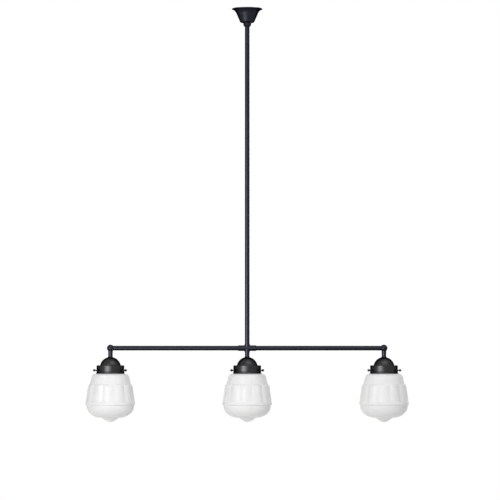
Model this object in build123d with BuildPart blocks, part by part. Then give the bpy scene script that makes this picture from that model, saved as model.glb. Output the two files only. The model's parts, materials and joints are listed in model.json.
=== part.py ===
from build123d import *
import os
from math import acos, atan2, cos, hypot, radians, sin, sqrt

# Three-light bar pendant: a rod hangs from the ceiling and carries a bar with three opal glass shades.
# Millimetres. The ceiling is the plane z = 0, +Z points up, the bar runs along X and the front is -Y.

# Layout
bar_drop = 1025.5  # ceiling to the axis of the bar
lamp_spacing = 410.0  # axis to axis of neighbouring lamps
tube_diameter = 14.0  # rod and arms
tube_wall = 1.5
thread_diameter = 10.0  # hollow nipples, and the holes that take them
wire_bore = 7.0  # hole for the lead through nipples and stems
slip_fit = 0.05  # radial, where one round piece slips into another
running_gap = 0.3  # between pieces that move past each other

# Ceiling bracket
bracket_length = 76.0
bracket_width = 18.0
bracket_thickness = 2.0
bracket_drop = 10.0  # ceiling to the underside of the bridge
bridge_length = 38.0  # outside, over both webs
bend_radius = 1.2
foot_corner_radius = 4.0
slot_length = 12.0
slot_width = 4.5
slot_end_margin = 3.0
earth_screw_gap = 1.0  # nut to the head of the earth screw
earth_screw_diameter = 4.0
earth_head_diameter = 7.0
earth_head_height = 2.4

# Swivel between the bracket and the rod
stud_diameter = 8.0
stud_above_nut = 0.5
nut_width = 13.0
nut_height = 5.0
yoke_web = 3.0
cheek_thickness = 3.0
cheek_width = 12.0
pin_diameter = 4.0
pin_head_diameter = 7.0
pin_head_height = 1.2
pin_below_web = 5.7
tongue_thickness = 5.0
tongue_width = 10.0
bow_leg = 3.0
bow_depth = 10.0
bow_window = 8.0  # height of the gap that the leads come out of
bow_clearance = 1.5  # room for the yoke to rock over the bow
socket_wall = 2.5  # of the ring that holds the top of the rod
socket_height = 6.5
socket_lip = 1.0

# Canopy
canopy_gap = 3.3  # ceiling to the rim
canopy_diameter = 92.0
canopy_floor_gap = 1.1  # bow to the inside of the canopy's bottom
canopy_wall = 1.2
canopy_flare_height = 13.8
canopy_flare_diameter = 66.0  # where the flare runs into the cone
canopy_flare_sag = 1.2
canopy_foot_diameter = 41.0
canopy_foot_fillet = 6.0
rim_roll = 1.5  # radius of the rolled edge
collar_diameter = 23.5
collar_height = 7.0
collar_taper = 5.5
collar_foot_wall = 0.8
collar_screw_diameter = 4.0
collar_screw_hex = 2.0

# Wiring
lead_diameter = 3.6
lead_spacing = 0.4  # gap between the three leads
lead_bend = 4.0
elbow_bend = 6.0
shift_bend = 20.0  # where the middle lead moves onto its lamp's axis
block_length = 20.0
block_depth = 10.0
block_height = 13.0
block_offset = 17.0  # lamp axis to the middle of the block
block_ways = 3
block_hole = 3.0

# Bar
cross_length = 54.0
cross_wall = 1.5
boss_wall = 1.1
boss_rise = 12.5  # top of the cross above the bar's axis
cross_chamfer = 0.8
cross_fillet = 1.5
arm_insertion = 14.0
rod_insertion = 6.5
ball_proud = 3.5  # ball surface outside the tube's
ball_insertion = 3.5
ball_neck = 0.5  # neck showing below the ball
neck_diameter = 14.0  # ball neck above the stem
cavity_margin = 0.5  # cavity in the ball beyond its bores

# Stem and dome
stem_length = 17.0
stem_waist_diameter = 13.4
stem_foot_diameter = 19.0
stem_foot_height = 5.0
spigot_length = 4.0
dome_diameter = 62.0
dome_height = 23.5
dome_wall = 1.2
dome_pad_margin = 0.5
nipple_grip = 6.0  # nipple inside the stem, and inside the lampholder

# Gallery and thumbscrews
gallery_diameter = 83.0
gallery_height = 24.5
gallery_wall = 1.1
gallery_corner = 2.0
lip_proud = 2.0
lip_height = 3.4
lip_roll = 1.1  # radius of the rolled edge
bead_height = 1.6
bead_proud = 0.7
screw_height = 9.5  # above the bottom of the lip
screw_diameter = 3.6
screw_exposed = 8.5  # bare shank between the bush and the knob
bush_wall = 1.8
bush_proud = 1.5
knob_diameter = 7.0
knob_length = 5.5
knob_fillet = 1.2
knob_grooves = 10
knob_groove_radius = 0.5
screw_angles = (("left", 210.0), ("right", 330.0), ("back", 90.0))

# Lampholder and bulb, E27
lampholder_diameter = 39.0
lampholder_length = 52.0
lampholder_crown = 9.0  # height of the cone on top
lampholder_top_diameter = 15.0
lampholder_chamber = 12.0
partition_thickness = 4.0
chamber_diameter = 20.0
shade_ring_width = 6.0
shade_ring_height = 6.0
holder_clearance = 0.5
cap_diameter = 26.0
cap_length = 26.5
cap_clearance = 0.4
cap_ridges = 5
cap_ridge_radius = 1.0
cap_tip_diameter = 10.0
cap_tip_height = 4.5
shell_wall = 0.7
shell_length = 24.0
contact_diameter = 7.0
contact_height = 1.7
bulb_diameter = 60.0
bulb_length = 104.0  # contact to the end of the envelope
bulb_neck_diameter = 24.0
bulb_neck_length = 4.0
bulb_wall = 1.0

# Opal glass shade, with drops measured below the gallery's lip
glass_wall = 3.0
neck_clearance = 0.8
neck_groove = 3.0  # depth of the groove that the thumbscrews reach into
neck_rim_height = 6.5
neck_foot = 4.0  # start of the cove, above the lip
shoulder_gap = 0.6
shoulder_diameter = 113.0
shoulder_drop = 11.0
panel_top_diameter = 124.5
panel_top_drop = 33.0
panel_lip = 1.2  # step at the top of the panels
panel_rise = 4.0  # height over which the panels swell
panel_proud = 4.4
panel_count = 12
panel_groove_depth = 2.6
panel_groove_angle = 12.0
ridge_proud = 4.0  # beyond the top of the bowl
ridge_drop = 90.5
ridge_height = 6.5
panel_set_back = 0.8  # foot of the panels inside the ridge
bowl_diameter = 142.0
tip_drop = 145.5
point_height = 13.0
point_diameter = 54.0
point_radius = 16.0

# Radii and heights that several pieces share
tube_radius = tube_diameter / 2
tube_bore_radius = tube_radius - tube_wall
thread_radius = thread_diameter / 2
wire_radius = wire_bore / 2
slot_x = bracket_length / 2 - slot_end_margin - slot_length / 2
earth_screw_x = nut_width / sqrt(3) + earth_screw_gap + earth_head_diameter / 2
bridge_top = -bracket_drop + bracket_thickness
nut_bottom = bridge_top + running_gap
web_top = -bracket_drop - running_gap
web_bottom = web_top - yoke_web
pin_z = web_bottom - pin_below_web
yoke_gap = tongue_thickness + 2 * running_gap
yoke_width = yoke_gap + 2 * cheek_thickness
crown_top = pin_z - cheek_width / 2 - bow_clearance
crown_bottom = crown_top - bow_leg
socket_top = crown_bottom - bow_window
socket_bottom = socket_top - socket_height
socket_radius = tube_radius + socket_wall
rod_top = socket_top - socket_lip
canopy_rim = -canopy_gap
canopy_bottom = socket_bottom - canopy_floor_gap - canopy_wall
bar_z = -bar_drop
boss_radius = tube_radius + boss_wall
cross_radius = tube_radius + cross_wall
rod_bottom = bar_z + boss_rise - rod_insertion
ball_radius = tube_radius + ball_proud
ball_seat = sqrt(ball_radius**2 - tube_radius**2) - ball_insertion
seat_drop = ball_radius + ball_neck

# Heights of a lamp, measured from the bar's axis
seat = -seat_drop
dome_top = seat - stem_length
ledge = dome_top - dome_height
lip = ledge - gallery_height
screw_level = lip + screw_height
dome_pad_radius = stem_foot_diameter / 2 + dome_pad_margin
holder_top = dome_top - dome_wall
holder_radius = lampholder_diameter / 2
chamber_top = holder_top - nipple_grip
partition_top = chamber_top - lampholder_chamber
partition_bottom = partition_top - partition_thickness
holder_bottom = holder_top - lampholder_length
plate_bottom = ledge - gallery_wall
shell_bore_radius = cap_diameter / 2 + cap_clearance
shell_radius = shell_bore_radius + shell_wall
cap_top = partition_bottom - contact_height - running_gap
cap_bottom = cap_top - cap_length
bulb_bottom = cap_top - bulb_length

# Radii of a gallery and its shade
gallery_radius = gallery_diameter / 2
gallery_bore_radius = gallery_radius - gallery_wall
lip_radius = gallery_radius + lip_proud
neck_rim_radius = gallery_bore_radius - neck_clearance
neck_radius = neck_rim_radius - neck_groove
neck_rim_bottom = screw_height + screw_diameter / 2 + running_gap
shoulder_start = lip_radius - lip_roll
bush_radius = screw_diameter / 2 + bush_wall
bush_end = gallery_radius + bush_proud
screw_tip = neck_radius + running_gap
knob_start = bush_end + screw_exposed
bowl_top = ridge_drop + ridge_height / 2
ridge_radius = bowl_diameter / 2 + ridge_proud
point_top = tip_drop - point_height
lamp_positions = (("left", -lamp_spacing), ("middle", 0.0), ("right", lamp_spacing))

os.makedirs("parts", exist_ok=True)


def save(builder, name):
    builder.part.label = name
    export_step(builder.part, f"parts/{name}.step")


def lamp_plane(x, height=0.0):
    # Upright plane through a lamp's axis, with its origin at a height above the bar's axis
    return Plane(origin=(x, 0, bar_z + height), x_dir=(1, 0, 0), z_dir=(0, -1, 0))


def lamp_axis(x):
    return Axis((x, 0, 0), (0, 0, 1))


def tangent_point(point, centre_height, radius):
    # Where a line from a point touches a circle centred on the axis, on the circle's lower side
    rise = point[1] - centre_height
    angle = atan2(rise, point[0]) - acos(radius / hypot(point[0], rise))
    return (radius * cos(angle), centre_height + radius * sin(angle))


def tube(plane, outer, inner, length):
    # Straight tube from a plane, along its normal
    with BuildPart() as pipe:
        with BuildSketch(plane):
            Circle(outer)
            Circle(inner, mode=Mode.SUBTRACT)
        extrude(amount=length)
    return pipe


# Ceiling bracket: a strip with two slotted feet and a lowered bridge
with BuildPart() as ceiling_bracket:
    with BuildSketch(Plane.XZ):
        for side in (-1, 1):
            with Locations((side * (bracket_length + bridge_length) / 4, -bracket_thickness / 2)):
                Rectangle((bracket_length - bridge_length) / 2, bracket_thickness)
            with Locations((side * (bridge_length - bracket_thickness) / 2, -bracket_drop / 2)):
                Rectangle(bracket_thickness, bracket_drop)
        with Locations((0, bridge_top - bracket_thickness / 2)):
            Rectangle(bridge_length, bracket_thickness)
    extrude(amount=bracket_width / 2, both=True)
    bends = [
        edge
        for edge in ceiling_bracket.edges().filter_by(Axis.Y)
        if abs(edge.center().X) < bridge_length / 2 + bend_radius
    ]
    fillet(bends, bend_radius)
    corners = ceiling_bracket.edges().filter_by(Axis.Z).group_by(SortBy.DISTANCE)[-1]
    fillet(corners, foot_corner_radius)
    with BuildSketch():
        with Locations((-slot_x, 0), (slot_x, 0)):
            SlotOverall(slot_length, slot_width)
    extrude(amount=-2 * bracket_thickness, mode=Mode.SUBTRACT)
    with BuildSketch(Plane.XY.offset(-bracket_drop)):
        Circle(stud_diameter / 2 + slip_fit)
        with Locations((earth_screw_x, 0)):
            Circle(earth_screw_diameter / 2 + slip_fit)
    extrude(amount=2 * bracket_thickness, mode=Mode.SUBTRACT)
save(ceiling_bracket, "ceiling_bracket")

# Earth screw on the bridge
with BuildPart() as earth_screw:
    with BuildSketch(Plane.XY.offset(bridge_top)):
        with Locations((earth_screw_x, 0)):
            Circle(earth_head_diameter / 2)
    extrude(amount=earth_head_height)
    fillet(earth_screw.edges().group_by(Axis.Z)[-1], earth_head_height / 4)
    with BuildSketch(Plane.XY.offset(bridge_top + earth_head_height)):
        with Locations((earth_screw_x, 0)):
            Rectangle(earth_head_diameter, earth_head_height / 3)
    extrude(amount=-earth_head_height / 2, mode=Mode.SUBTRACT)
    with BuildSketch(Plane.XY.offset(bridge_top)):
        with Locations((earth_screw_x, 0)):
            Circle(earth_screw_diameter / 2)
    extrude(amount=-bracket_thickness - running_gap)
save(earth_screw, "earth_screw")

# Swivel yoke: a fork on a stud that turns in the bridge
with BuildPart() as swivel_yoke:
    with BuildSketch(Plane.YZ):
        with Locations((0, (web_top + pin_z) / 2)):
            Rectangle(cheek_width, web_top - pin_z)
        with Locations((0, pin_z)):
            Circle(cheek_width / 2)
    extrude(amount=yoke_width / 2, both=True)
    with BuildSketch(Plane.XZ):
        with Locations((0, web_bottom)):
            Rectangle(yoke_gap, 2 * (pin_below_web + cheek_width), align=(Align.CENTER, Align.MAX))
    extrude(amount=cheek_width, both=True, mode=Mode.SUBTRACT)
    with BuildSketch(Plane.XY.offset(web_top)):
        Circle(stud_diameter / 2)
    extrude(amount=nut_bottom + nut_height + stud_above_nut - web_top)
    with BuildSketch(Plane.YZ):
        with Locations((0, pin_z)):
            Circle(pin_diameter / 2 + slip_fit)
    extrude(amount=yoke_width, both=True, mode=Mode.SUBTRACT)
save(swivel_yoke, "swivel_yoke")

# Nut that carries the yoke on the bridge
with BuildPart() as yoke_nut:
    with BuildSketch(Plane.XY.offset(nut_bottom)):
        RegularPolygon(nut_width / 2, 6, major_radius=False)
        Circle(stud_diameter / 2 + slip_fit, mode=Mode.SUBTRACT)
    extrude(amount=nut_height)
save(yoke_nut, "yoke_nut")

# Riveted pivot pin through the fork
with BuildPart() as pivot_pin:
    with BuildSketch(Plane.YZ):
        with Locations((0, pin_z)):
            Circle(pin_diameter / 2)
    extrude(amount=yoke_width / 2, both=True)
    for side in (-1, 1):
        with BuildSketch(Plane.YZ.offset(side * yoke_width / 2)):
            with Locations((0, pin_z)):
                Circle(pin_head_diameter / 2)
        extrude(amount=side * pin_head_height)
    fillet(pivot_pin.edges().group_by(Axis.X)[0], pin_head_height / 2)
    fillet(pivot_pin.edges().group_by(Axis.X)[-1], pin_head_height / 2)
save(pivot_pin, "pivot_pin")

# Bow on top of the rod: a tongue for the pin, two legs beside the leads and a socket for the rod
with BuildPart() as rod_bow:
    with BuildSketch(Plane.YZ):
        with Locations((0, pin_z)):
            Circle(tongue_width / 2)
            Rectangle(tongue_width, pin_z - crown_bottom, align=(Align.CENTER, Align.MAX))
    extrude(amount=tongue_thickness / 2, both=True)
    with BuildSketch(Plane.XZ):
        with Locations((0, crown_top)):
            Rectangle(2 * socket_radius, crown_top - socket_top, align=(Align.CENTER, Align.MAX))
        with Locations((0, crown_bottom)):
            Rectangle(
                2 * (socket_radius - bow_leg),
                bow_window,
                align=(Align.CENTER, Align.MAX),
                mode=Mode.SUBTRACT,
            )
    extrude(amount=bow_depth / 2, both=True)
    with BuildSketch(Plane.XY.offset(socket_bottom)):
        Circle(socket_radius)
    extrude(amount=socket_height)
    with BuildSketch(Plane.XY.offset(socket_bottom)):
        Circle(tube_radius + slip_fit)
    extrude(amount=rod_top - socket_bottom, mode=Mode.SUBTRACT)
    with BuildSketch(Plane.XY.offset(rod_top)):
        Circle(tube_bore_radius)
    extrude(amount=socket_lip, mode=Mode.SUBTRACT)
    with BuildSketch(Plane.YZ):
        with Locations((0, pin_z)):
            Circle(pin_diameter / 2 + slip_fit)
    extrude(amount=tongue_thickness, both=True, mode=Mode.SUBTRACT)
save(rod_bow, "rod_bow")

suspension_rod = tube(Plane.XY.offset(rod_bottom), tube_radius, tube_bore_radius, rod_top - rod_bottom)
save(suspension_rod, "suspension_rod")

# Canopy: a spun bell with a rolled rim
with BuildPart() as canopy:
    rim_point = (canopy_diameter / 2 - rim_roll, canopy_rim - rim_roll)
    flare_point = (canopy_flare_diameter / 2, canopy_rim - canopy_flare_height)
    foot_point = (canopy_foot_diameter / 2, canopy_bottom)
    flare_width = rim_point[0] - flare_point[0]
    flare_rise = rim_point[1] - flare_point[1]
    flare_run = hypot(flare_width, flare_rise)
    flare_middle = (
        (rim_point[0] + flare_point[0]) / 2 - canopy_flare_sag * flare_rise / flare_run,
        (rim_point[1] + flare_point[1]) / 2 + canopy_flare_sag * flare_width / flare_run,
    )
    with BuildSketch(Plane.XZ):
        with BuildLine() as bell:
            ThreePointArc(rim_point, flare_middle, flare_point)
            FilletPolyline(
                flare_point,
                foot_point,
                (tube_radius + running_gap, canopy_bottom),
                radius=canopy_foot_fillet,
            )
            offset(amount=canopy_wall, side=Side.RIGHT)
        make_face()
    revolve(axis=Axis.Z)
    with BuildSketch(Plane.XZ):
        with Locations(rim_point):
            Circle(rim_roll)
    revolve(axis=Axis.Z)
save(canopy, "canopy")

# Grip collar that holds the canopy up
with BuildPart() as canopy_collar:
    with BuildSketch(Plane.XZ):
        with BuildLine():
            Polyline(
                (tube_radius + slip_fit, canopy_bottom),
                (collar_diameter / 2, canopy_bottom),
                (collar_diameter / 2, canopy_bottom - collar_height),
                (tube_radius + collar_foot_wall, canopy_bottom - collar_height - collar_taper),
                (tube_radius + slip_fit, canopy_bottom - collar_height - collar_taper),
                close=True,
            )
        make_face()
    revolve(axis=Axis.Z)
    with BuildSketch(Plane.XZ):
        with Locations((0, canopy_bottom - collar_height / 2)):
            Circle(collar_screw_diameter / 2 + slip_fit)
    extrude(amount=-collar_diameter, mode=Mode.SUBTRACT)
save(canopy_collar, "canopy_collar")

# Grub screw in the back of the collar
with BuildPart() as collar_screw:
    with BuildSketch(Plane.XZ.offset(-tube_radius - running_gap)):
        with Locations((0, canopy_bottom - collar_height / 2)):
            Circle(collar_screw_diameter / 2)
    extrude(amount=-(collar_diameter / 2 - tube_radius - 2 * running_gap))
    with BuildSketch(Plane.XZ.offset(-collar_diameter / 2)):
        with Locations((0, canopy_bottom - collar_height / 2)):
            RegularPolygon(collar_screw_hex / 2, 6, major_radius=False)
    extrude(amount=collar_screw_hex, mode=Mode.SUBTRACT)
save(collar_screw, "collar_screw")

# Leads: side by side in the rod, out through the bow to the terminal block, down to the lampholders
lead_ring = (lead_diameter + lead_spacing) / sqrt(3)
lead_radius = lead_diameter / 2
pair_x = lead_ring * cos(radians(30))
pair_y = lead_ring * sin(radians(30))
low_run = socket_top + lead_radius + running_gap
high_run = low_run + lead_diameter
block_bottom = high_run + lead_bend + running_gap
pair_riser = block_offset + lead_radius
middle_riser = block_offset - lead_diameter
lead_end = bar_z + partition_top
shift_start = bar_z + lead_bend
shift_end = bar_z + seat + lead_radius
lead_routes = {
    "middle_lead": (
        [
            (0, middle_riser, block_bottom),
            (0, middle_riser, high_run),
            (0, -lead_ring, high_run),
            (0, -lead_ring, shift_start),
            (0, 0, shift_end),
            (0, 0, lead_end),
        ],
        [lead_bend, lead_bend, shift_bend, shift_bend],
    )
}
for name, side in (("left_lead", -1), ("right_lead", 1)):
    lead_routes[name] = (
        [
            (side * pair_x, pair_riser, block_bottom),
            (side * pair_x, pair_riser, low_run),
            (side * pair_x, pair_y, low_run),
            (side * pair_x, pair_y, bar_z),
            (side * lamp_spacing, pair_y, bar_z),
            (side * lamp_spacing, pair_y, lead_end),
        ],
        [lead_bend, lead_bend, elbow_bend, elbow_bend],
    )
for name, (points, bends) in lead_routes.items():
    with BuildPart() as lead:
        with BuildLine() as route:
            FilletPolyline(*points, radius=bends)
        with BuildSketch(Plane(origin=route.line @ 0, z_dir=route.line % 0)):
            Circle(lead_radius)
        sweep()
    save(lead, name)
    print(name, "length", round(route.wire().length), "bend radii", bends)

# Terminal block beside the yoke
with BuildPart() as terminal_block:
    with BuildSketch(Plane.XY.offset(block_bottom)):
        with Locations((0, block_offset)):
            RectangleRounded(block_length, block_depth, block_hole / 2)
    extrude(amount=block_height)
    with BuildSketch(Plane.XY.offset(block_bottom + block_height)):
        with Locations((0, block_offset)):
            with GridLocations(block_length / block_ways, 1, block_ways, 1):
                Circle(block_hole / 2)
    extrude(amount=-block_height / 2, mode=Mode.SUBTRACT)
save(terminal_block, "terminal_block")

# Cross fitting between the rod, the two arms and the middle stem
with BuildPart() as cross_fitting:
    with BuildSketch(Plane.YZ.offset(-cross_length / 2)):
        with Locations((0, bar_z)):
            Circle(cross_radius)
    extrude(amount=cross_length)
    chamfer(cross_fitting.edges().filter_by(GeomType.CIRCLE), cross_chamfer)
    with BuildSketch(Plane.XY.offset(bar_z + seat)):
        Circle(boss_radius)
    extrude(amount=seat_drop + boss_rise)
    saddles = [
        edge
        for edge in cross_fitting.edges()
        if edge.geom_type not in (GeomType.CIRCLE, GeomType.LINE)
    ]
    fillet(saddles, cross_fillet)
    with BuildSketch(Plane.YZ.offset(-cross_length / 2)):
        with Locations((0, bar_z)):
            Circle(thread_radius)
    extrude(amount=cross_length, mode=Mode.SUBTRACT)
    for side in (-1, 1):
        with BuildSketch(Plane.YZ.offset(side * cross_length / 2)):
            with Locations((0, bar_z)):
                Circle(tube_radius + slip_fit)
        extrude(amount=-side * arm_insertion, mode=Mode.SUBTRACT)
    with BuildSketch(Plane.XY.offset(bar_z + seat)):
        Circle(thread_radius)
    extrude(amount=seat_drop + boss_rise, mode=Mode.SUBTRACT)
    with BuildSketch(Plane.XY.offset(rod_bottom)):
        Circle(tube_radius + slip_fit)
    extrude(amount=rod_insertion, mode=Mode.SUBTRACT)
save(cross_fitting, "cross_fitting")

# Arms and ball elbows
cavity_radius = thread_radius + cavity_margin
ball_neck_radius = neck_diameter / 2
neck_top = sqrt(ball_radius**2 - ball_neck_radius**2)
bore_top = sqrt(cavity_radius**2 - thread_radius**2)
for name, side in (("left", -1), ("right", 1)):
    arm_start = cross_length / 2 - arm_insertion
    arm_end = lamp_spacing - ball_seat
    arm_plane = Plane(origin=(side * arm_start, 0, bar_z), x_dir=(0, 1, 0), z_dir=(side, 0, 0))
    save(tube(arm_plane, tube_radius, tube_bore_radius, arm_end - arm_start), f"{name}_arm")

    with BuildPart() as ball:
        side_plane = Plane(origin=(side * lamp_spacing, 0, bar_z), x_dir=(0, -1, 0), z_dir=(-1, 0, 0))
        with BuildSketch(side_plane):
            with BuildLine():
                ThreePointArc((0, ball_radius), (ball_radius, 0), (ball_neck_radius, -neck_top))
                Polyline(
                    (ball_neck_radius, -neck_top),
                    (ball_neck_radius, seat),
                    (thread_radius, seat),
                    (thread_radius, -bore_top),
                )
                ThreePointArc((thread_radius, -bore_top), (cavity_radius, 0), (0, cavity_radius))
                Line((0, cavity_radius), (0, ball_radius))
            make_face()
        revolve(axis=lamp_axis(side * lamp_spacing))
        seat_plane = Plane(
            origin=(side * arm_end, 0, bar_z), x_dir=(0, 1, 0), z_dir=(-side, 0, 0)
        )
        with BuildSketch(seat_plane):
            Circle(tube_radius + slip_fit)
        extrude(amount=ball_radius, mode=Mode.SUBTRACT)
        with BuildSketch(seat_plane):
            Circle(thread_radius)
        extrude(amount=-ball_seat, mode=Mode.SUBTRACT)
    save(ball, f"{name}_ball")


def make_stem(x):
    # Turned stem with a spigot on top and a flared foot on the dome
    with BuildPart() as stem:
        with BuildSketch(lamp_plane(x)):
            with BuildLine():
                Polyline(
                    (stem_waist_diameter / 2, dome_top + stem_foot_height),
                    (neck_diameter / 2, seat),
                    (thread_radius - slip_fit, seat),
                    (thread_radius - slip_fit, seat + spigot_length),
                    (wire_radius, seat + spigot_length),
                    (wire_radius, dome_top + nipple_grip),
                    (thread_radius + slip_fit, dome_top + nipple_grip),
                    (thread_radius + slip_fit, dome_top),
                    (stem_foot_diameter / 2, dome_top),
                )
                EllipticalCenterArc(
                    (stem_foot_diameter / 2, dome_top + stem_foot_height),
                    (stem_foot_diameter - stem_waist_diameter) / 2,
                    stem_foot_height,
                    180,
                )
            make_face()
        revolve(axis=lamp_axis(x))
    return stem


def make_nipple(x):
    # Threaded tube through the dome, from the stem into the lampholder
    top = dome_top + nipple_grip
    plane = Plane(origin=(x, 0, bar_z + chamber_top))
    return tube(plane, thread_radius, wire_radius, top - chamber_top)


def make_dome(x):
    # Spun dome with a flat pad under the stem
    base_radius = dome_diameter / 2
    centre = dome_top - (base_radius**2 + dome_height**2 - dome_pad_radius**2) / (2 * dome_height)
    outer = hypot(dome_pad_radius, dome_top - centre)
    inner = outer - dome_wall
    inner_pad = sqrt(inner**2 - (holder_top - centre) ** 2)
    inner_base = sqrt(inner**2 - (ledge - centre) ** 2)
    middle = radians(45)
    with BuildPart() as dome:
        with BuildSketch(lamp_plane(x)):
            with BuildLine():
                ThreePointArc(
                    (dome_pad_radius, dome_top),
                    (outer * cos(middle), centre + outer * sin(middle)),
                    (base_radius, ledge),
                )
                ThreePointArc(
                    (inner_pad, holder_top),
                    (inner * cos(middle), centre + inner * sin(middle)),
                    (inner_base, ledge),
                )
                Line((base_radius, ledge), (inner_base, ledge))
                Polyline(
                    (dome_pad_radius, dome_top),
                    (thread_radius + slip_fit, dome_top),
                    (thread_radius + slip_fit, holder_top),
                    (inner_pad, holder_top),
                )
            make_face()
        revolve(axis=lamp_axis(x))
    return dome


def screw_plane(x, angle, distance):
    # Plane square to a thumbscrew, at a distance from the lamp's axis
    outwards = (cos(radians(angle)), sin(radians(angle)), 0)
    start = (x + distance * outwards[0], distance * outwards[1], bar_z + screw_level)
    return Plane(origin=start, x_dir=(0, 0, 1), z_dir=outwards)


def make_gallery(x):
    # Glass holder: a plate round the lampholder, a wall with a bead and a flared lip, three screw bushes
    lip_top = lip + lip_height
    lip_point = (lip_radius - lip_roll, lip + lip_roll)
    with BuildPart() as gallery:
        with BuildSketch(lamp_plane(x)):
            with BuildLine():
                FilletPolyline(
                    (holder_radius + holder_clearance, ledge),
                    (gallery_radius, ledge),
                    (gallery_radius, lip_top),
                    lip_point,
                    radius=gallery_corner,
                )
                offset(amount=gallery_wall, side=Side.RIGHT)
            make_face()
        revolve(axis=lamp_axis(x))
        with BuildSketch(lamp_plane(x)):
            with Locations(lip_point):
                Circle(lip_roll)
            with Locations((gallery_radius, lip_top + gallery_corner + bead_height / 2)):
                Ellipse(bead_proud, bead_height / 2)
        revolve(axis=lamp_axis(x))
        for _, angle in screw_angles:
            with BuildSketch(screw_plane(x, angle, gallery_bore_radius)):
                Circle(bush_radius)
            extrude(amount=bush_end - gallery_bore_radius)
        for _, angle in screw_angles:
            with BuildSketch(screw_plane(x, angle, neck_radius)):
                Circle(screw_diameter / 2 + slip_fit)
            extrude(amount=bush_end + bush_proud - neck_radius, mode=Mode.SUBTRACT)
    return gallery


def make_thumbscrew(x, angle):
    # Screw with a bare shank and a grooved knob
    with BuildPart() as thumbscrew:
        with BuildSketch(screw_plane(x, angle, knob_start)):
            Circle(knob_diameter / 2)
        extrude(amount=knob_length)
        fillet(thumbscrew.edges().filter_by(GeomType.CIRCLE), knob_fillet)
        with BuildSketch(screw_plane(x, angle, knob_start)):
            with PolarLocations(knob_diameter / 2, knob_grooves):
                Circle(knob_groove_radius)
        extrude(amount=knob_length, mode=Mode.SUBTRACT)
        with BuildSketch(screw_plane(x, angle, screw_tip)):
            Circle(screw_diameter / 2)
        extrude(amount=knob_start - screw_tip)
    return thumbscrew


def make_lampholder(x):
    # Insulating body: a wire chamber above, a bore for the screw shell below
    with BuildPart() as lampholder:
        with BuildSketch(lamp_plane(x)):
            with BuildLine():
                Polyline(
                    (thread_radius + slip_fit, holder_top),
                    (lampholder_top_diameter / 2, holder_top),
                    (holder_radius, holder_top - lampholder_crown),
                    (holder_radius, holder_bottom),
                    (shell_radius, holder_bottom),
                    (shell_radius, partition_bottom),
                    (0, partition_bottom),
                    (0, partition_top),
                    (chamber_diameter / 2, partition_top),
                    (chamber_diameter / 2, chamber_top),
                    (thread_radius + slip_fit, chamber_top),
                    close=True,
                )
            make_face()
        revolve(axis=lamp_axis(x))
    return lampholder


def make_contacts(x):
    # Screw shell and centre contact
    with BuildPart() as contacts:
        with BuildSketch(Plane(origin=(x, 0, bar_z + partition_bottom))):
            Circle(shell_radius)
            Circle(shell_bore_radius, mode=Mode.SUBTRACT)
        extrude(amount=-shell_length)
        with BuildSketch(Plane(origin=(x, 0, bar_z + partition_bottom))):
            Circle(contact_diameter / 2)
        extrude(amount=-contact_height)
    return contacts


def make_shade_ring(x):
    # Ring on the lampholder that clamps the gallery against the dome
    plane = Plane(origin=(x, 0, bar_z + plate_bottom - shade_ring_height))
    return tube(plane, holder_radius + shade_ring_width, holder_radius + slip_fit, shade_ring_height)


def make_bulb_cap(x):
    # Screw cap with rolled ridges and a contact at its tip
    thread_top = cap_top - cap_tip_height
    core_radius = cap_diameter / 2 - cap_ridge_radius
    ridge_pitch = (thread_top - cap_bottom) / (cap_ridges + 1)
    with BuildPart() as bulb_cap:
        with BuildSketch(lamp_plane(x)):
            with BuildLine():
                Polyline(
                    (0, cap_top),
                    (cap_tip_diameter / 2, cap_top),
                    (core_radius, thread_top),
                    (core_radius, cap_bottom),
                    (0, cap_bottom),
                    close=True,
                )
            make_face()
            for ridge in range(cap_ridges):
                with Locations((core_radius, thread_top - (ridge + 1) * ridge_pitch)):
                    Circle(cap_ridge_radius)
        revolve(axis=lamp_axis(x))
    return bulb_cap


def bulb_outline(inset):
    # Half outline of the envelope: neck, cone and round end
    centre = bulb_bottom + bulb_diameter / 2
    radius = bulb_diameter / 2 - inset
    neck = (bulb_neck_diameter / 2 - inset, cap_bottom - bulb_neck_length)
    touch = tangent_point(neck, centre, radius)
    half = radius * sin(radians(45))
    Line((neck[0], cap_bottom), neck)
    Line(neck, touch)
    ThreePointArc(touch, (half, centre - half), (0, centre - radius))
    Line((0, centre - radius), (0, cap_bottom))
    Line((0, cap_bottom), (neck[0], cap_bottom))


def make_bulb(x):
    # Hollow glass envelope, open where the cap closes it
    with BuildPart() as bulb:
        with BuildSketch(lamp_plane(x)):
            with BuildLine():
                bulb_outline(0.0)
            make_face()
        revolve(axis=lamp_axis(x))
        with BuildSketch(lamp_plane(x)):
            with BuildLine():
                bulb_outline(bulb_wall)
            make_face()
        revolve(axis=lamp_axis(x), mode=Mode.SUBTRACT)
    return bulb


def shade_outline(inset):
    # Half outline of the smooth shade below its neck, moved inwards by the inset
    neck = neck_radius - inset
    shoulder = shoulder_diameter / 2 - inset
    bowl = bowl_diameter / 2 - inset
    point = (point_diameter / 2, inset - point_top)
    tip_radius = point_radius - inset
    tip_centre = point_radius - tip_drop
    touch = tangent_point(point, tip_centre, tip_radius)
    half = atan2(touch[1] - tip_centre, touch[0]) / 2 - radians(45)
    EllipticalCenterArc(
        (shoulder_start, neck_foot), shoulder_start - neck, neck_foot + shoulder_gap + inset, 180
    )
    EllipticalCenterArc(
        (shoulder_start, -shoulder_drop), shoulder - shoulder_start, shoulder_drop - shoulder_gap - inset
    )
    Polyline(
        (shoulder, -shoulder_drop), (panel_top_diameter / 2 - inset, -panel_top_drop), (bowl, -bowl_top)
    )
    EllipticalCenterArc((point[0], -bowl_top), bowl - point[0], point_top - bowl_top - inset, 270)
    Line(point, touch)
    ThreePointArc(
        touch,
        (tip_radius * cos(half), tip_centre + tip_radius * sin(half)),
        (0, tip_centre - tip_radius),
    )


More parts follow.
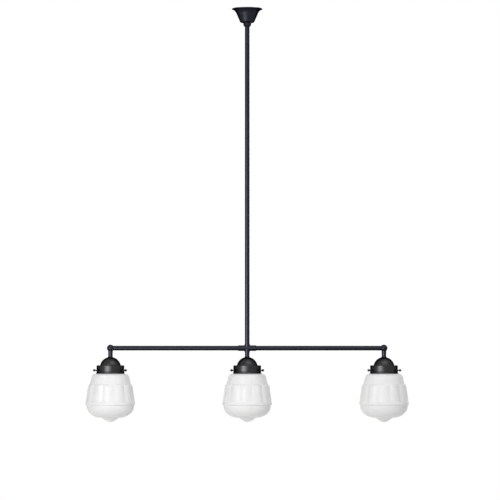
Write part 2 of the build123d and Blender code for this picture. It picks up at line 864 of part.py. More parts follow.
def make_shade(x):
    # Opal glass: neck with a rim, smooth shoulder, ring of panels, ridge, bowl and point
    rim_top = neck_rim_bottom + neck_rim_height
    panel_rings = (
        (panel_top_drop, panel_top_diameter / 2 + panel_lip),
        (panel_top_drop + panel_rise, panel_top_diameter / 2 + panel_proud),
        (ridge_drop, ridge_radius - panel_set_back),
    )
    with BuildPart() as shade:
        with BuildSketch(lamp_plane(x, lip)):
            with BuildLine():
                shade_outline(0.0)
                Polyline(
                    (neck_radius, neck_foot),
                    (neck_radius, neck_rim_bottom),
                    (neck_rim_radius, neck_rim_bottom),
                    (neck_rim_radius, rim_top),
                    (0, rim_top),
                    (0, -tip_drop),
                )
            make_face()
        revolve(axis=lamp_axis(x))
        for drop, crest in panel_rings:
            groove = crest - panel_groove_depth
            with BuildSketch(Plane(origin=(x, 0, bar_z + lip - drop))):
                with BuildLine():
                    for start in range(panel_count):
                        first, middle, last = (
                            radians(panel_groove_angle + (start + share) * 360 / panel_count)
                            for share in (0, 0.5, 1)
                        )
                        ThreePointArc(
                            (groove * cos(first), groove * sin(first)),
                            (crest * cos(middle), crest * sin(middle)),
                            (groove * cos(last), groove * sin(last)),
                        )
                make_face()
        loft(ruled=True)
        with BuildSketch(lamp_plane(x, lip)):
            with Locations((bowl_diameter / 2, -ridge_drop)):
                Ellipse(ridge_proud, ridge_height / 2)
        revolve(axis=lamp_axis(x))
        with BuildSketch(lamp_plane(x, lip)):
            with BuildLine():
                shade_outline(glass_wall)
                Polyline(
                    (neck_radius - glass_wall, neck_foot),
                    (neck_radius - glass_wall, rim_top),
                    (0, rim_top),
                    (0, glass_wall - tip_drop),
                )
            make_face()
        revolve(axis=lamp_axis(x), mode=Mode.SUBTRACT)
    return shade


for lamp, position in lamp_positions:
    save(make_stem(position), f"{lamp}_stem")
    save(make_nipple(position), f"{lamp}_nipple")
    save(make_dome(position), f"{lamp}_dome")
    save(make_gallery(position), f"{lamp}_gallery")
    for place, angle in screw_angles:
        save(make_thumbscrew(position, angle), f"{lamp}_thumbscrew_{place}")
    save(make_lampholder(position), f"{lamp}_lampholder")
    save(make_contacts(position), f"{lamp}_lampholder_contacts")
    save(make_shade_ring(position), f"{lamp}_shade_ring")
    save(make_bulb_cap(position), f"{lamp}_bulb_cap")
    save(make_bulb(position), f"{lamp}_bulb")
    save(make_shade(position), f"{lamp}_shade")
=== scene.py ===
import json
import math

import bpy
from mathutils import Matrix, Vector


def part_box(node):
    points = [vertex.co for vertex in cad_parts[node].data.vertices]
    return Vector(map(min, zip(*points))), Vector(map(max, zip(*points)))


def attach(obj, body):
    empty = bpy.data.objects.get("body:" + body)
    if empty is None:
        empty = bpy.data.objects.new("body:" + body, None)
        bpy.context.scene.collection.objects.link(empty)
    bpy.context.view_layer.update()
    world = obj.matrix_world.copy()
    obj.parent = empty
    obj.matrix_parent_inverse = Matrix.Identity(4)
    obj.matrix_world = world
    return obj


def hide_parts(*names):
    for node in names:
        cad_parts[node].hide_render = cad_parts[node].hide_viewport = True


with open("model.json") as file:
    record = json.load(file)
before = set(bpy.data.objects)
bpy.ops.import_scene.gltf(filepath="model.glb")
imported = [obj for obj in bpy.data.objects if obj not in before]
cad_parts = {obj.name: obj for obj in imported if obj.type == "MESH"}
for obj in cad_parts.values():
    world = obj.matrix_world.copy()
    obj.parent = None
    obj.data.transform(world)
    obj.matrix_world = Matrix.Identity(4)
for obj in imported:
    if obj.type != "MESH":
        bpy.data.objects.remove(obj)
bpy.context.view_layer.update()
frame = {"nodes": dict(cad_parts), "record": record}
nodes = frame["nodes"]
mm = 0.001
lampNames = ("left", "middle", "right")
plainWhite = (1.0, 1.0, 1.0, 1.0)
noiseSpan = (0.3, 0.7)  # nearly all of a noise lies between these
sumSpan = (0.7, 1.3)  # and of two noises added up
print("frame loaded with", len(nodes), "nodes")


def linear(hexColour):
    channels = [int(hexColour[start : start + 2], 16) / 255 for start in (1, 3, 5)]
    return [c / 12.92 if c <= 0.04045 else ((c + 0.055) / 1.055) ** 2.4 for c in channels] + [1.0]


def addNode(tree, kind, settings=None, inputs=None):
    node = tree.nodes.new(kind)
    for name, value in (settings or {}).items():
        setattr(node, name, value)
    for name, value in (inputs or {}).items():
        if isinstance(value, bpy.types.NodeSocket):
            tree.links.new(value, node.inputs[name])
        else:
            node.inputs[name].default_value = value
    return node


def startMaterial(name, sockets):
    material = bpy.data.materials.new(name)
    material.use_nodes = True
    tree = material.node_tree
    tree.nodes.clear()
    shader = addNode(tree, "ShaderNodeBsdfPrincipled", inputs=sockets)
    addNode(tree, "ShaderNodeOutputMaterial", inputs={"Surface": shader.outputs["BSDF"]})
    place = addNode(tree, "ShaderNodeTexCoord").outputs["Object"]
    return material, tree, shader, place


# Charcoal metallic lacquer, sprayed on drawn and spun steel: fine flake under a satin clear coat gives a soft
# sheen, a little cloudy, over a faint orange peel
charcoalLook = {
    "dark": "#25262c",
    "light": "#2a2b32",
    "edge": "#707072",  # at a glancing angle the matting agent keeps the coat dull
    "roughness": (0.32, 0.36),
    "cloud": 24 * mm,
    "flake": 1.2 * mm,  # real flake is under 0.1 mm, drawn coarser so that it shows
    "peel": 0.005 * mm,
    "peelStrength": 0.25,
}


def makeLacquer(name, look):
    material, tree, shader, place = startMaterial(
        name, {"Metallic": 1.0, "Specular Tint": linear(look["edge"])}
    )
    cloud = addNode(
        tree,
        "ShaderNodeTexNoise",
        inputs={"Vector": place, "Scale": 1 / look["cloud"], "Detail": 3.0, "Roughness": 0.55},
    )
    flake = addNode(
        tree,
        "ShaderNodeTexNoise",
        inputs={"Vector": place, "Scale": 1 / look["flake"], "Detail": 2.0, "Roughness": 0.7},
    )
    both = addNode(
        tree, "ShaderNodeMath", {"operation": "ADD"}, {0: cloud.outputs["Fac"], 1: flake.outputs["Fac"]}
    )
    spread = addNode(
        tree,
        "ShaderNodeMapRange",
        inputs={"Value": both.outputs["Value"], "From Min": sumSpan[0], "From Max": sumSpan[1]},
    )
    colour = addNode(
        tree,
        "ShaderNodeMix",
        {"data_type": "RGBA"},
        {"Factor": spread.outputs["Result"], 6: linear(look["dark"]), 7: linear(look["light"])},
    )
    gloss = addNode(
        tree,
        "ShaderNodeMapRange",
        inputs={
            "Value": both.outputs["Value"],
            "From Min": sumSpan[0],
            "From Max": sumSpan[1],
            "To Min": look["roughness"][0],
            "To Max": look["roughness"][1],
        },
    )
    peel = addNode(
        tree,
        "ShaderNodeBump",
        inputs={
            "Strength": look["peelStrength"],
            "Distance": look["peel"],
            "Height": flake.outputs["Fac"],
        },
    )
    tree.links.new(colour.outputs[2], shader.inputs["Base Color"])
    tree.links.new(gloss.outputs["Result"], shader.inputs["Roughness"])
    tree.links.new(peel.outputs["Normal"], shader.inputs["Normal"])
    return material


charcoalLacquer = makeLacquer("charcoalLacquer", charcoalLook)
holderLook = dict(charcoalLook, dark="#313132", light="#373738", roughness=(0.31, 0.35))
holderLacquer = makeLacquer("holderLacquer", holderLook)

# Zinc-plated mild steel, rolled and pressed: a bright grey with faint rolling marks along X and dull patches
zincLook = {
    "dark": "#9a9da2",
    "light": "#c3c6ca",
    "roughness": (0.28, 0.45),
    "markWidth": 0.6 * mm,
    "markLength": 20 * mm,
    "patch": 9 * mm,
}


def makeZinc(look):
    material, tree, shader, place = startMaterial("zincPlatedSteel", {"Metallic": 1.0})
    stretch = addNode(
        tree,
        "ShaderNodeMapping",
        inputs={"Vector": place, "Scale": (look["markWidth"] / look["markLength"], 1.0, 1.0)},
    )
    marks = addNode(
        tree,
        "ShaderNodeTexNoise",
        inputs={"Vector": stretch.outputs["Vector"], "Scale": 1 / look["markWidth"], "Detail": 2.0},
    )
    patches = addNode(
        tree, "ShaderNodeTexNoise", inputs={"Vector": place, "Scale": 1 / look["patch"], "Detail": 4.0}
    )
    colour = addNode(
        tree,
        "ShaderNodeMix",
        {"data_type": "RGBA"},
        {"Factor": patches.outputs["Fac"], 6: linear(look["dark"]), 7: linear(look["light"])},
    )
    gloss = addNode(
        tree,
        "ShaderNodeMapRange",
        inputs={
            "Value": marks.outputs["Fac"],
            "From Min": noiseSpan[0],
            "From Max": noiseSpan[1],
            "To Min": look["roughness"][0],
            "To Max": look["roughness"][1],
        },
    )
    tree.links.new(colour.outputs[2], shader.inputs["Base Color"])
    tree.links.new(gloss.outputs["Result"], shader.inputs["Roughness"])
    return material


zincPlatedSteel = makeZinc(zincLook)

# Turned brass: yellow metal with fine lathe rings round its axis and a light tarnish
brassLook = {
    "dark": "#9c7a3c",
    "light": "#c8a661",
    "roughness": (0.2, 0.36),
    "ring": 0.5 * mm,
    "ringWidth": 10 * mm,
    "tarnish": 6 * mm,
}


def makeBrass(look):
    material, tree, shader, place = startMaterial("turnedBrass", {"Metallic": 1.0})
    across = look["ring"] / look["ringWidth"]
    flatten = addNode(tree, "ShaderNodeMapping", inputs={"Vector": place, "Scale": (across, across, 1.0)})
    rings = addNode(
        tree,
        "ShaderNodeTexNoise",
        inputs={"Vector": flatten.outputs["Vector"], "Scale": 1 / look["ring"], "Detail": 1.0},
    )
    tarnish = addNode(
        tree, "ShaderNodeTexNoise", inputs={"Vector": place, "Scale": 1 / look["tarnish"], "Detail": 4.0}
    )
    colour = addNode(
        tree,
        "ShaderNodeMix",
        {"data_type": "RGBA"},
        {"Factor": tarnish.outputs["Fac"], 6: linear(look["dark"]), 7: linear(look["light"])},
    )
    gloss = addNode(
        tree,
        "ShaderNodeMapRange",
        inputs={
            "Value": rings.outputs["Fac"],
            "From Min": noiseSpan[0],
            "From Max": noiseSpan[1],
            "To Min": look["roughness"][0],
            "To Max": look["roughness"][1],
        },
    )
    tree.links.new(colour.outputs[2], shader.inputs["Base Color"])
    tree.links.new(gloss.outputs["Result"], shader.inputs["Roughness"])
    return material


turnedBrass = makeBrass(brassLook)


# Moulded plastics: one even colour with faint flow marks and a fine moulded grain that breaks the gloss
def makeMoulded(name, dark, light, roughness, flow=14 * mm, grain=0.8 * mm, grainHeight=0.02 * mm):
    material, tree, shader, place = startMaterial(name, {"Roughness": roughness, "IOR": 1.5})
    flowMarks = addNode(
        tree,
        "ShaderNodeTexNoise",
        inputs={"Vector": place, "Scale": 1 / flow, "Detail": 2.0, "Distortion": 0.8},
    )
    colour = addNode(
        tree,
        "ShaderNodeMix",
        {"data_type": "RGBA"},
        {"Factor": flowMarks.outputs["Fac"], 6: linear(dark), 7: linear(light)},
    )
    pebble = addNode(
        tree, "ShaderNodeTexNoise", inputs={"Vector": place, "Scale": 1 / grain, "Detail": 1.0}
    )
    bump = addNode(
        tree,
        "ShaderNodeBump",
        inputs={"Strength": 0.3, "Distance": grainHeight, "Height": pebble.outputs["Fac"]},
    )
    tree.links.new(colour.outputs[2], shader.inputs["Base Color"])
    tree.links.new(bump.outputs["Normal"], shader.inputs["Normal"])
    return material


mouldedPhenolic = makeMoulded("mouldedPhenolic", "#14110f", "#1d1916", 0.35)
nylonTerminal = makeMoulded("nylonTerminal", "#dedbd2", "#e9e6de", 0.42)
vinylSheath = makeMoulded("vinylSheath", "#cfcfcc", "#dadad7", 0.4, flow=30 * mm)

# Rolled aluminium: pale metal, drawn and rolled, with soft streaks round the cap
aluminiumLook = {
    "dark": "#b4b7ba",
    "light": "#d2d4d6",
    "roughness": 0.32,
    "streak": 1.0 * mm,
    "streakWidth": 12.5 * mm,
}


def makeAluminium(look):
    material, tree, shader, place = startMaterial(
        "rolledAluminium", {"Metallic": 1.0, "Roughness": look["roughness"]}
    )
    across = look["streak"] / look["streakWidth"]
    flatten = addNode(tree, "ShaderNodeMapping", inputs={"Vector": place, "Scale": (across, across, 1.0)})
    streaks = addNode(
        tree,
        "ShaderNodeTexNoise",
        inputs={"Vector": flatten.outputs["Vector"], "Scale": 1 / look["streak"], "Detail": 2.0},
    )
    colour = addNode(
        tree,
        "ShaderNodeMix",
        {"data_type": "RGBA"},
        {"Factor": streaks.outputs["Fac"], 6: linear(look["dark"]), 7: linear(look["light"])},
    )
    tree.links.new(colour.outputs[2], shader.inputs["Base Color"])
    return material


rolledAluminium = makeAluminium(aluminiumLook)

# Cased opal glass, blown into a mould: dense milk white under a thin clear skin, so light sinks in a little
# and comes back soft, while the highlights are broad and waver with the skin
opalLook = {
    "dark": "#e7e7e7",
    "light": "#f0f0f0",
    "roughness": 0.27,
    "skinGloss": 0.25,
    "sinks": 0.25,  # share of the light that goes under the skin
    "sinkDepth": 3 * mm,
    "swirl": 45 * mm,
    "ripple": 22 * mm,
    "rippleHeight": 0.10 * mm,
}


def makeOpal(look):
    material, tree, shader, place = startMaterial(
        "casedOpalGlass",
        {
            "Roughness": look["roughness"],
            "IOR": 1.5,
            "Specular IOR Level": look["skinGloss"],
            "Subsurface Weight": look["sinks"],
            "Subsurface Radius": (1.0, 1.0, 1.0),
            "Subsurface Scale": look["sinkDepth"],
        },
    )
    swirl = addNode(
        tree,
        "ShaderNodeTexNoise",
        inputs={"Vector": place, "Scale": 1 / look["swirl"], "Detail": 3.0, "Distortion": 1.5},
    )
    colour = addNode(
        tree,
        "ShaderNodeMix",
        {"data_type": "RGBA"},
        {"Factor": swirl.outputs["Fac"], 6: linear(look["dark"]), 7: linear(look["light"])},
    )
    ripple = addNode(
        tree, "ShaderNodeTexNoise", inputs={"Vector": place, "Scale": 1 / look["ripple"], "Detail": 1.0}
    )
    bump = addNode(
        tree,
        "ShaderNodeBump",
        inputs={"Strength": 0.5, "Distance": look["rippleHeight"], "Height": ripple.outputs["Fac"]},
    )
    tree.links.new(colour.outputs[2], shader.inputs["Base Color"])
    tree.links.new(bump.outputs["Normal"], shader.inputs["Normal"])
    return material


casedOpalGlass = makeOpal(opalLook)

# Acid-frosted bulb glass: thin and clear, with a fine etched inside that scatters what is behind it
frostLook = {"tint": "#f4f3f0", "clear": 0.6, "roughness": (0.4, 0.55), "etch": 1.5 * mm}


def makeFrostedGlass(look):
    material, tree, shader, place = startMaterial(
        "frostedBulbGlass",
        {"Base Color": linear(look["tint"]), "Transmission Weight": look["clear"], "IOR": 1.45},
    )
    etch = addNode(
        tree, "ShaderNodeTexNoise", inputs={"Vector": place, "Scale": 1 / look["etch"], "Detail": 2.0}
    )
    gloss = addNode(
        tree,
        "ShaderNodeMapRange",
        inputs={
            "Value": etch.outputs["Fac"],
            "From Min": noiseSpan[0],
            "From Max": noiseSpan[1],
            "To Min": look["roughness"][0],
            "To Max": look["roughness"][1],
        },
    )
    tree.links.new(gloss.outputs["Result"], shader.inputs["Roughness"])
    return material


frostedBulbGlass = makeFrostedGlass(frostLook)

finishes = {
    "charcoal_metal": charcoalLacquer,
    "holder_metal": holderLacquer,
    "zinc_steel": zincPlatedSteel,
    "brass_fittings": turnedBrass,
    "lampholder_plastic": mouldedPhenolic,
    "terminal_plastic": nylonTerminal,
    "lead_sheath": vinylSheath,
    "cap_aluminium": rolledAluminium,
    "bulb_glass": frostedBulbGlass,
    "opal_glass": casedOpalGlass,
}
for entry in frame["record"]["subparts"]:
    mesh = nodes[entry["node"]].data
    mesh.materials.clear()
    mesh.materials.append(finishes[entry["material_slot"]])
print("materials made:", len(finishes))


# An outline is a start and steps: a line to a point, or a round to a point, which leaves and arrives towards
# a corner
def outlineCurve(name, plan):
    curve = bpy.data.curves.new(name, "CURVE")
    curve.dimensions = "3D"
    curve.resolution_u = plan["pointsPerStep"]
    spline = curve.splines.new("BEZIER")
    spline.bezier_points.add(len(plan["steps"]))
    roundness = 0.5523  # share of the way to the corner that makes a quarter ellipse

    def flat(point):
        return Vector((point[0] * mm - plan["spinRadius"], -point[1] * mm, 0.0))

    last = spline.bezier_points[0]
    last.co = last.handle_left = last.handle_right = flat(plan["start"])
    for point, (kind, end, *corner) in zip(spline.bezier_points[1:], plan["steps"]):
        point.co = point.handle_left = point.handle_right = flat(end)
        if kind == "round":
            towards = flat(corner[0])
            last.handle_right = last.co.lerp(towards, roundness)
            point.handle_left = point.co.lerp(towards, roundness)
        last = point
    outline = bpy.data.objects.new(name, curve)
    bpy.context.scene.collection.objects.link(outline)
    return outline


def setInputs(modifier, values):
    for item in modifier.node_group.interface.items_tree:
        if item.in_out == "INPUT" and item.name in values:
            modifier[item.identifier] = values[item.name]


def bakeMesh(maker, name):
    graph = bpy.context.evaluated_depsgraph_get()
    mesh = bpy.data.meshes.new_from_object(maker.evaluated_get(graph))
    mesh.name = name
    made = bpy.data.objects.new(name, mesh)
    bpy.context.scene.collection.objects.link(made)
    return made


def startTree(name, inputs):
    tree = bpy.data.node_groups.new(name, "GeometryNodeTree")
    for label, kind in inputs:
        tree.interface.new_socket(label, in_out="INPUT", socket_type=kind)
    tree.interface.new_socket("Mesh", in_out="OUTPUT", socket_type="NodeSocketGeometry")
    return tree, addNode(tree, "NodeGroupInput").outputs


# Opal shades: the outline, in millimetres from the lamp's axis and from the holder's lip, is spun, and the
# panels are pressed into it between two heights
shadePlan = {
    "wall": 3.0 * mm,
    "weld": 0.01 * mm,
    "pointsPerStep": 10,
    "segments": 192,
    "panels": 12,
    "grooveTurn": math.radians(12),
    "topDepth": 3.6 * mm,  # the grooves run out level with the shoulder
    "footDepth": 2.1 * mm,
    "panelTop": -30.5 * mm,
    "panelFoot": -88.5 * mm,
    "topEase": 8.0 * mm,
    "footEase": 4.5 * mm,
    "spinRadius": 20 * mm,
    "start": (37.4, 18.1),
    "steps": [
        ("line", (38.6, 18.1)),
        ("round", (39.6, 17.1), (39.6, 18.1)),
        ("line", (39.6, 12.4)),
        ("round", (38.8, 11.6), (39.6, 11.6)),
        ("line", (37.4, 11.6)),
        ("round", (36.6, 10.8), (36.6, 11.6)),
        ("line", (36.6, 4.0)),
        ("round", (42.4, -0.6), (36.6, -0.6)),
        ("round", (56.6, -11.0), (55.6, -0.6)),
        ("line", (61.7, -31.0)),
        ("round", (63.8, -33.6), (62.3, -32.7)),
        ("round", (66.9, -38.4), (66.2, -35.0)),
        ("line", (73.4, -84.5)),
        ("round", (74.2, -87.6), (73.8, -86.6)),
        ("round", (75.0, -90.2), (75.0, -88.6)),
        ("round", (73.0, -94.2), (75.0, -93.2)),
        ("round", (71.2, -97.2), (71.3, -95.0)),
        ("round", (27.0, -132.5), (71.0, -132.5)),
        ("round", (22.4, -134.8), (25.2, -132.7)),
        ("line", (14.6, -140.2)),
        ("round", (0.0, -145.5), (7.6, -145.2)),
    ],
}


def shadeTree(plan):
    tree, given = startTree(
        "opalShade",
        (
            ("Outline", "NodeSocketGeometry"),
            ("Place", "NodeSocketVector"),
            ("Spin Radius", "NodeSocketFloat"),
            ("Segments", "NodeSocketInt"),
            ("Panels", "NodeSocketInt"),
            ("Groove Turn", "NodeSocketFloat"),
            ("Top Depth", "NodeSocketFloat"),
            ("Foot Depth", "NodeSocketFloat"),
            ("Panel Top", "NodeSocketFloat"),
            ("Panel Foot", "NodeSocketFloat"),
            ("Top Ease", "NodeSocketFloat"),
            ("Foot Ease", "NodeSocketFloat"),
            ("Glass", "NodeSocketMaterial"),
        ),
    )
    circle = addNode(
        tree,
        "GeometryNodeCurvePrimitiveCircle",
        inputs={"Resolution": given["Segments"], "Radius": given["Spin Radius"]},
    )
    turn = addNode(tree, "ShaderNodeCombineXYZ", inputs={"Z": given["Groove Turn"]})
    ring = addNode(
        tree,
        "GeometryNodeTransform",
        inputs={"Geometry": circle.outputs["Curve"], "Rotation": turn.outputs["Vector"]},
    )
    spun = addNode(
        tree,
        "GeometryNodeCurveToMesh",
        inputs={"Curve": ring.outputs["Geometry"], "Profile Curve": given["Outline"]},
    )
    where = addNode(tree, "GeometryNodeInputPosition").outputs["Position"]
    axes = addNode(tree, "ShaderNodeSeparateXYZ", inputs={"Vector": where}).outputs
    angle = addNode(tree, "ShaderNodeMath", {"operation": "ARCTAN2"}, {0: axes["Y"], 1: axes["X"]})
    turned = addNode(
        tree, "ShaderNodeMath", {"operation": "SUBTRACT"}, {0: angle.outputs[0], 1: given["Groove Turn"]}
    )
    perTurn = addNode(tree, "ShaderNodeMath", {"operation": "DIVIDE"}, {0: given["Panels"], 1: math.tau})
    counted = addNode(
        tree, "ShaderNodeMath", {"operation": "MULTIPLY"}, {0: turned.outputs[0], 1: perTurn.outputs[0]}
    )
    share = addNode(tree, "ShaderNodeMath", {"operation": "FLOORED_MODULO"}, {0: counted.outputs[0], 1: 1.0})
    across = addNode(
        tree, "ShaderNodeMath", {"operation": "MULTIPLY_ADD"}, {0: share.outputs[0], 1: 2.0, 2: -1.0}
    )
    fall = addNode(
        tree, "ShaderNodeMath", {"operation": "MULTIPLY"}, {0: across.outputs[0], 1: across.outputs[0]}
    )
    topStart = addNode(
        tree, "ShaderNodeMath", {"operation": "SUBTRACT"}, {0: given["Panel Top"], 1: given["Top Ease"]}
    )
    footEnd = addNode(
        tree, "ShaderNodeMath", {"operation": "ADD"}, {0: given["Panel Foot"], 1: given["Foot Ease"]}
    )
    belowTop = addNode(
        tree,
        "ShaderNodeMapRange",
        {"interpolation_type": "SMOOTHSTEP"},
        {"Value": axes["Z"], "From Min": given["Panel Top"], "From Max": topStart.outputs[0]},
    )
    aboveFoot = addNode(
        tree,
        "ShaderNodeMapRange",
        {"interpolation_type": "SMOOTHSTEP"},
        {"Value": axes["Z"], "From Min": given["Panel Foot"], "From Max": footEnd.outputs[0]},
    )
    inPanel = addNode(
        tree,
        "ShaderNodeMath",
        {"operation": "MULTIPLY"},
        {0: belowTop.outputs["Result"], 1: aboveFoot.outputs["Result"]},
    )
    groove = addNode(
        tree, "ShaderNodeMath", {"operation": "MULTIPLY"}, {0: fall.outputs[0], 1: inPanel.outputs[0]}
    )
    depth = addNode(
        tree,
        "ShaderNodeMapRange",
        inputs={
            "Value": axes["Z"],
            "From Min": given["Panel Top"],
            "From Max": given["Panel Foot"],
            "To Min": given["Top Depth"],
            "To Max": given["Foot Depth"],
        },
    )
    press = addNode(
        tree, "ShaderNodeMath", {"operation": "MULTIPLY"}, {0: groove.outputs[0], 1: depth.outputs["Result"]}
    )
    level = addNode(tree, "ShaderNodeCombineXYZ", inputs={"X": axes["X"], "Y": axes["Y"]})
    outwards = addNode(
        tree, "ShaderNodeVectorMath", {"operation": "NORMALIZE"}, {0: level.outputs["Vector"]}
    )
    back = addNode(tree, "ShaderNodeMath", {"operation": "MULTIPLY"}, {0: press.outputs[0], 1: -1.0})
    inwards = addNode(
        tree,
        "ShaderNodeVectorMath",
        {"operation": "SCALE"},
        {0: outwards.outputs["Vector"], "Scale": back.outputs[0]},
    )
    pressed = addNode(
        tree,
        "GeometryNodeSetPosition",
        inputs={"Geometry": spun.outputs["Mesh"], "Offset": inwards.outputs["Vector"]},
    )
    closed = addNode(
        tree,
        "GeometryNodeMergeByDistance",
        inputs={"Geometry": pressed.outputs["Geometry"], "Distance": plan["weld"]},
    )
    hung = addNode(
        tree,
        "GeometryNodeTransform",
        inputs={"Geometry": closed.outputs["Geometry"], "Translation": given["Place"]},
    )
    smooth = addNode(tree, "GeometryNodeSetShadeSmooth", inputs={"Geometry": hung.outputs["Geometry"]})
    real = addNode(tree, "GeometryNodeRealizeInstances", inputs={"Geometry": smooth.outputs["Geometry"]})
    glazed = addNode(
        tree,
        "GeometryNodeSetMaterial",
        inputs={"Geometry": real.outputs["Geometry"], "Material": given["Glass"]},
    )
    addNode(tree, "NodeGroupOutput", inputs={"Mesh": glazed.outputs["Geometry"]})
    return tree


def makeShades(plan):
    tree = shadeTree(plan)
    for lamp in lampNames:
        low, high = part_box(f"{lamp}_gallery")
        outline = outlineCurve("shadeOutline", plan)
        spin = outline.modifiers.new("spin", "NODES")
        spin.node_group = tree
        setInputs(
            spin,
            {
                "Place": ((low.x + high.x) / 2, 0.0, low.z),
                "Spin Radius": plan["spinRadius"],
                "Segments": plan["segments"],
                "Panels": plan["panels"],
                "Groove Turn": plan["grooveTurn"],
                "Top Depth": plan["topDepth"],
                "Foot Depth": plan["footDepth"],
                "Panel Top": plan["panelTop"],
                "Panel Foot": plan["panelFoot"],
                "Top Ease": plan["topEase"],
                "Foot Ease": plan["footEase"],
                "Glass": casedOpalGlass,
            },
        )
        shade = bakeMesh(outline, f"{lamp}ShadeGlass")
        bpy.data.objects.remove(outline)
        wall = shade.modifiers.new("wall", "SOLIDIFY")
        wall.thickness = plan["wall"]
        wall.offset = -1.0
        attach(shade, "pendant")
        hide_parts(f"{lamp}_shade")


makeShades(shadePlan)
print("shades spun")

# Thumbscrew threads: a fine V ridge wound round the shank to the knob. It starts inside the bush, so that the
# part which comes out is threaded too
threadPlan = {
    "pitch": 0.7 * mm,
    "shank": 1.8 * mm,
    "ridge": 0.26 * mm,
    "start": 38.8 * mm,  # from the lamp's axis
    "length": 12.4 * mm,
    "aboveLip": 9.5 * mm,
    "pointsPerTurn": 18,
    "ridgeSides": 4,
    "directions": {"left": 210, "right": 330, "back": 90},
}


def threadTree(plan):
    tree, given = startTree(
        "thumbscrewThread",
        (
            ("Place", "NodeSocketVector"),
            ("Turn", "NodeSocketVector"),
            ("Turns", "NodeSocketFloat"),
            ("Points", "NodeSocketInt"),
            ("Shank", "NodeSocketFloat"),
            ("Length", "NodeSocketFloat"),
            ("Ridge", "NodeSocketFloat"),
            ("Metal", "NodeSocketMaterial"),
        ),
    )
    path = addNode(
        tree,
        "GeometryNodeCurveSpiral",
        inputs={
            "Resolution": given["Points"],
            "Rotations": given["Turns"],
            "Start Radius": given["Shank"],
            "End Radius": given["Shank"],
            "Height": given["Length"],
        },
    )
    section = addNode(
        tree,
        "GeometryNodeCurvePrimitiveCircle",
        inputs={"Resolution": plan["ridgeSides"], "Radius": given["Ridge"]},
    )
    wound = addNode(
        tree,
        "GeometryNodeCurveToMesh",
        inputs={"Curve": path.outputs["Curve"], "Profile Curve": section.outputs["Curve"], "Fill Caps": True},
    )
    placed = addNode(
        tree,
        "GeometryNodeTransform",
        inputs={"Geometry": wound.outputs["Mesh"], "Translation": given["Place"], "Rotation": given["Turn"]},
    )
    real = addNode(tree, "GeometryNodeRealizeInstances", inputs={"Geometry": placed.outputs["Geometry"]})
    coated = addNode(
        tree,
        "GeometryNodeSetMaterial",
        inputs={"Geometry": real.outputs["Geometry"], "Material": given["Metal"]},
    )
    addNode(tree, "NodeGroupOutput", inputs={"Mesh": coated.outputs["Geometry"]})
    return tree


def makeThreads(plan):
    tree = threadTree(plan)
    for lamp in lampNames:
        low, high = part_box(f"{lamp}_gallery")
        for place, degrees in plan["directions"].items():
            turn = math.radians(degrees)
            maker = bpy.data.objects.new("thread", bpy.data.meshes.new("thread"))
            bpy.context.scene.collection.objects.link(maker)
            wind = maker.modifiers.new("wind", "NODES")
            wind.node_group = tree
            setInputs(
                wind,
                {
                    "Place": (
                        (low.x + high.x) / 2 + plan["start"] * math.cos(turn),
                        plan["start"] * math.sin(turn),
                        low.z + plan["aboveLip"],
                    ),
                    "Turn": (0.0, math.pi / 2, turn),
                    "Turns": plan["length"] / plan["pitch"],
                    "Points": plan["pointsPerTurn"],
                    "Shank": plan["shank"],
                    "Length": plan["length"],
                    "Ridge": plan["ridge"],
                    "Metal": holderLacquer,
                },
            )
            thread = bakeMesh(maker, f"{lamp}ScrewThread{place.capitalize()}")
            bpy.data.objects.remove(maker)
            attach(thread, f"{lamp}_thumbscrew_{place}")


makeThreads(threadPlan)
print("threads wound")

# Studio: white all round for the eye and for gloss, a tall softbox on the left, a weaker one on the right,
# and a wide card between the first and the camera, which only the sheen of the lacquer and the glass shows
studio = {
    "ambient": 0.31,
    "aim": (0.0, 0.0, -1.0),
    "softboxes": {
        "keySoftbox": {"turn": -30, "away": 3.0, "height": -1.1, "size": (0.75, 2.4), "watts": 45},
        "topSoftbox": {"turn": 20, "away": 1.6, "height": 1.2, "size": (2.2, 1.8), "watts": 26},
        "fillSoftbox": {
            "turn": 62, "away": 3.4, "height": -0.6, "size": (2.8, 2.4), "watts": 17, "gloss": False
        },
        "backSoftbox": {
            "turn": 180, "away": 3.6, "height": 0.0, "size": (1.4, 2.0), "watts": 46, "gloss": False
        },
        "sheenCard": {
            "turn": -27, "away": 3.0, "height": -1.2, "size": (2.4, 1.0), "watts": 46, "diffuse": False
        },
    },
}


def seenDirectly(tree):
    rays = addNode(tree, "ShaderNodeLightPath").outputs
    first = addNode(
        tree, "ShaderNodeMath", {"operation": "MAXIMUM"}, {0: rays["Is Camera Ray"], 1: rays["Is Glossy Ray"]}
    )
    last = addNode(
        tree,
        "ShaderNodeMath",
        {"operation": "MAXIMUM"},
        {0: first.outputs[0], 1: rays["Is Transmission Ray"]},
    )
    return last.outputs[0]


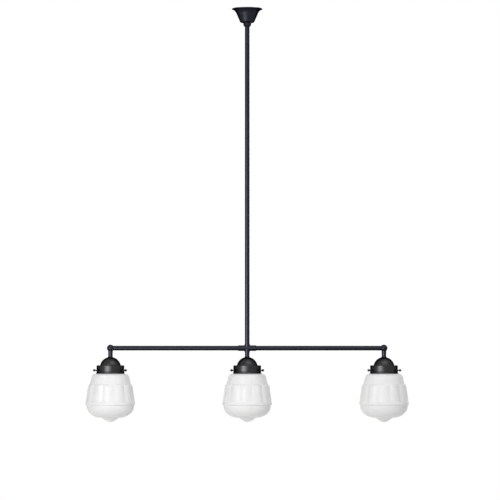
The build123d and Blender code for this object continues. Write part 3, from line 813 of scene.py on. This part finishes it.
def makeStudio(plan):
    world = bpy.data.worlds.new("whiteStudio")
    bpy.context.scene.world = world
    world.use_nodes = True
    tree = world.node_tree
    tree.nodes.clear()
    soft = addNode(tree, "ShaderNodeBackground", inputs={"Color": plainWhite, "Strength": plan["ambient"]})
    white = addNode(tree, "ShaderNodeBackground", inputs={"Color": plainWhite, "Strength": 1.0})
    sky = addNode(
        tree,
        "ShaderNodeMixShader",
        inputs={0: seenDirectly(tree), 1: soft.outputs[0], 2: white.outputs[0]},
    )
    addNode(tree, "ShaderNodeOutputWorld", inputs={"Surface": sky.outputs[0]})

    for name, box in plan["softboxes"].items():
        light = bpy.data.lights.new(name, "AREA")
        light.shape = "RECTANGLE"
        light.size, light.size_y = box["size"]
        light.energy = box["watts"]
        softbox = bpy.data.objects.new(name, light)
        turn = math.radians(box["turn"])
        softbox.location = (box["away"] * math.sin(turn), -box["away"] * math.cos(turn), box["height"])
        softbox.rotation_euler = (Vector(plan["aim"]) - softbox.location).to_track_quat("-Z", "Y").to_euler()
        softbox.visible_glossy = box.get("gloss", True)
        softbox.visible_diffuse = box.get("diffuse", True)
        bpy.context.scene.collection.objects.link(softbox)


makeStudio(studio)

# Floor: pale near the lamp, fading to the white of the background, and open to a view from below
floorPlan = {
    "height": -2.4,
    "radius": 14.0,
    "sides": 96,
    "colour": "#ebebe9",
    "roughness": 0.7,
    "fade": (0.5, 3.5),
}


def makeFloor(plan):
    paint = bpy.data.materials.new("paleFloor")
    paint.use_nodes = True
    tree = paint.node_tree
    tree.nodes.clear()
    pale = addNode(
        tree,
        "ShaderNodeBsdfPrincipled",
        inputs={"Base Color": linear(plan["colour"]), "Roughness": plan["roughness"]},
    )
    glow = addNode(tree, "ShaderNodeEmission", inputs={"Color": plainWhite, "Strength": 1.0})
    away = addNode(
        tree,
        "ShaderNodeVectorMath",
        {"operation": "LENGTH"},
        {0: addNode(tree, "ShaderNodeTexCoord").outputs["Object"]},
    )
    fade = addNode(
        tree,
        "ShaderNodeMapRange",
        {"interpolation_type": "SMOOTHSTEP"},
        {"Value": away.outputs["Value"], "From Min": plan["fade"][0], "From Max": plan["fade"][1]},
    )
    faded = addNode(
        tree,
        "ShaderNodeMath",
        {"operation": "MULTIPLY"},
        {0: fade.outputs["Result"], 1: seenDirectly(tree)},
    )
    mixed = addNode(
        tree,
        "ShaderNodeMixShader",
        inputs={0: faded.outputs[0], 1: pale.outputs[0], 2: glow.outputs[0]},
    )
    oneWay = addNode(
        tree,
        "ShaderNodeMixShader",
        inputs={
            0: addNode(tree, "ShaderNodeNewGeometry").outputs["Backfacing"],
            1: mixed.outputs[0],
            2: addNode(tree, "ShaderNodeBsdfTransparent").outputs[0],
        },
    )
    addNode(tree, "ShaderNodeOutputMaterial", inputs={"Surface": oneWay.outputs[0]})
    bpy.ops.mesh.primitive_circle_add(
        vertices=plan["sides"],
        radius=plan["radius"],
        fill_type="NGON",
        location=(0.0, 0.0, plan["height"]),
    )
    floor = bpy.context.object
    floor.name = "paleFloor"
    floor.data.materials.append(paint)


makeFloor(floorPlan)
print("studio lit")

# Camera: a long lens, level with the holders and tilted up, so the canopy is seen a little from below
view = {"lens": 216.0, "sensor": 36.0, "place": (0.0084, -9.0, -1.094), "aim": (0.0084, 0.0, -0.731)}
cameraData = bpy.data.cameras.new("camera")
cameraData.lens = view["lens"]
cameraData.sensor_width = view["sensor"]
camera = bpy.data.objects.new("camera", cameraData)
camera.location = view["place"]
camera.rotation_euler = (Vector(view["aim"]) - Vector(view["place"])).to_track_quat("-Z", "Y").to_euler()
bpy.context.scene.collection.objects.link(camera)
bpy.context.scene.camera = camera
bpy.context.scene.view_settings.view_transform = "Standard"
